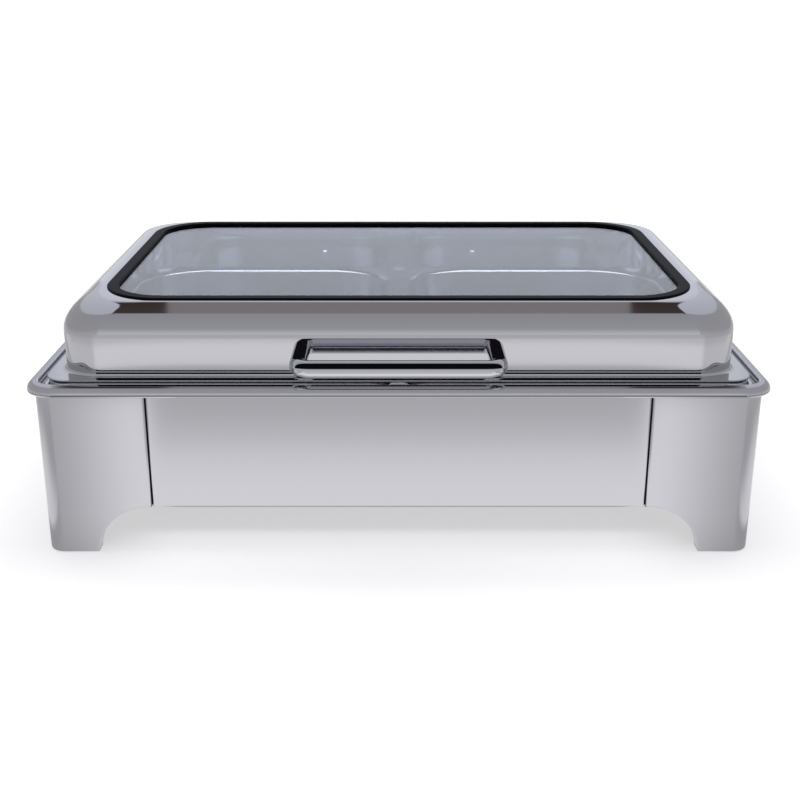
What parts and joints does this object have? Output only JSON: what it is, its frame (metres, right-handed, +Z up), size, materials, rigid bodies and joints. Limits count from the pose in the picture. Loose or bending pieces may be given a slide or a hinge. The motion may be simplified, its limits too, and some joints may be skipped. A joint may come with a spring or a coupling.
{
  "type": "chafing dish",
  "caption": "Low rectangular chafing dish: pressed steel stand with fuel burners, water pan, food pans and a hinged lid with a framed window and a bar handle.",
  "frame": {"origin": "on the table under the middle of the dish, at the height of the feet", "axes": "+X to the right along the length, +Y to the back where the hinges are, +Z up"},
  "size_m": [0.614, 0.4646, 0.2109],
  "materials": {
    "satin_steel": "satin brushed stainless steel",
    "mirror_steel": "mirror polished stainless steel",
    "pan_steel": "bright drawn stainless steel",
    "food_pan_steel": "dull bright drawn stainless steel",
    "shelf_steel": "mill finish stainless steel",
    "hinge_steel": "satin stainless steel",
    "fastener_steel": "bright turned steel",
    "burner_steel": "drawn stainless steel",
    "knob_plastic": "black heat-proof moulding",
    "seal_rubber": "black silicone rubber",
    "strip_rubber": "dark rubber strip",
    "pane_glass": "clear tempered glass"
  },
  "bodies": {
    "stand": {"leg_front_left": "satin_steel", "leg_front_right": "satin_steel", "leg_rear_left": "satin_steel", "leg_rear_right": "satin_steel", "front_panel": "satin_steel", "rear_panel": "satin_steel", "left_panel": "satin_steel", "right_panel": "satin_steel", "seam_strips": "strip_rubber", "panel_rivets": "fastener_steel", "burner_shelf": "shelf_steel", "shelf_screws": "fastener_steel"},
    "water_pan_set": {"water_pan": "pan_steel", "pan_support_bar": "food_pan_steel", "food_pan_left": "food_pan_steel", "food_pan_right": "food_pan_steel", "hinge_bracket_left": "hinge_steel", "hinge_bracket_right": "hinge_steel", "hinge_pin_left": "fastener_steel", "hinge_pin_right": "fastener_steel"},
    "lid": {"lid_shell": "mirror_steel", "window_gasket": "seal_rubber", "window_glass": "pane_glass", "handle": "mirror_steel", "handle_screws": "fastener_steel", "handle_washers": "fastener_steel", "hinge_strap_left": "hinge_steel", "hinge_strap_right": "hinge_steel", "hinge_screws": "fastener_steel", "hinge_cap_nuts": "fastener_steel"},
    "burner_left": {"burner_cup_left": "burner_steel", "burner_cover_left": "burner_steel", "damper_pin_left": "fastener_steel"},
    "damper_left": {"burner_damper_left": "burner_steel", "damper_knob_left": "knob_plastic"},
    "burner_right": {"burner_cup_right": "burner_steel", "burner_cover_right": "burner_steel", "damper_pin_right": "fastener_steel"},
    "damper_right": {"burner_damper_right": "burner_steel", "damper_knob_right": "knob_plastic"}
  },
  "joints": [
    {"name": "water_pan_lift", "type": "slide", "parent": "stand", "child": "water_pan_set", "axis": [0, 0, 1], "range_m": [0, 0.1]},
    {"name": "lid_hinge", "type": "hinge", "parent": "water_pan_set", "child": "lid", "pos_m": [0, 0.225, 0.158], "axis": [-1, 0, 0], "range_deg": [0, 90]},
    {"name": "burner_left_lift", "type": "slide", "parent": "stand", "child": "burner_left", "axis": [0, 0, 1], "range_m": [0, 0.012]},
    {"name": "damper_left_swivel", "type": "hinge", "parent": "burner_left", "child": "damper_left", "pos_m": [-0.134, 0.035, 0.0578], "axis": [0, 0, -1], "range_deg": [0, 150]},
    {"name": "burner_right_lift", "type": "slide", "parent": "stand", "child": "burner_right", "axis": [0, 0, 1], "range_m": [0, 0.012]},
    {"name": "damper_right_swivel", "type": "hinge", "parent": "burner_right", "child": "damper_right", "pos_m": [0.134, 0.035, 0.0578], "axis": [0, 0, 1], "range_deg": [0, 150]}
  ]
}
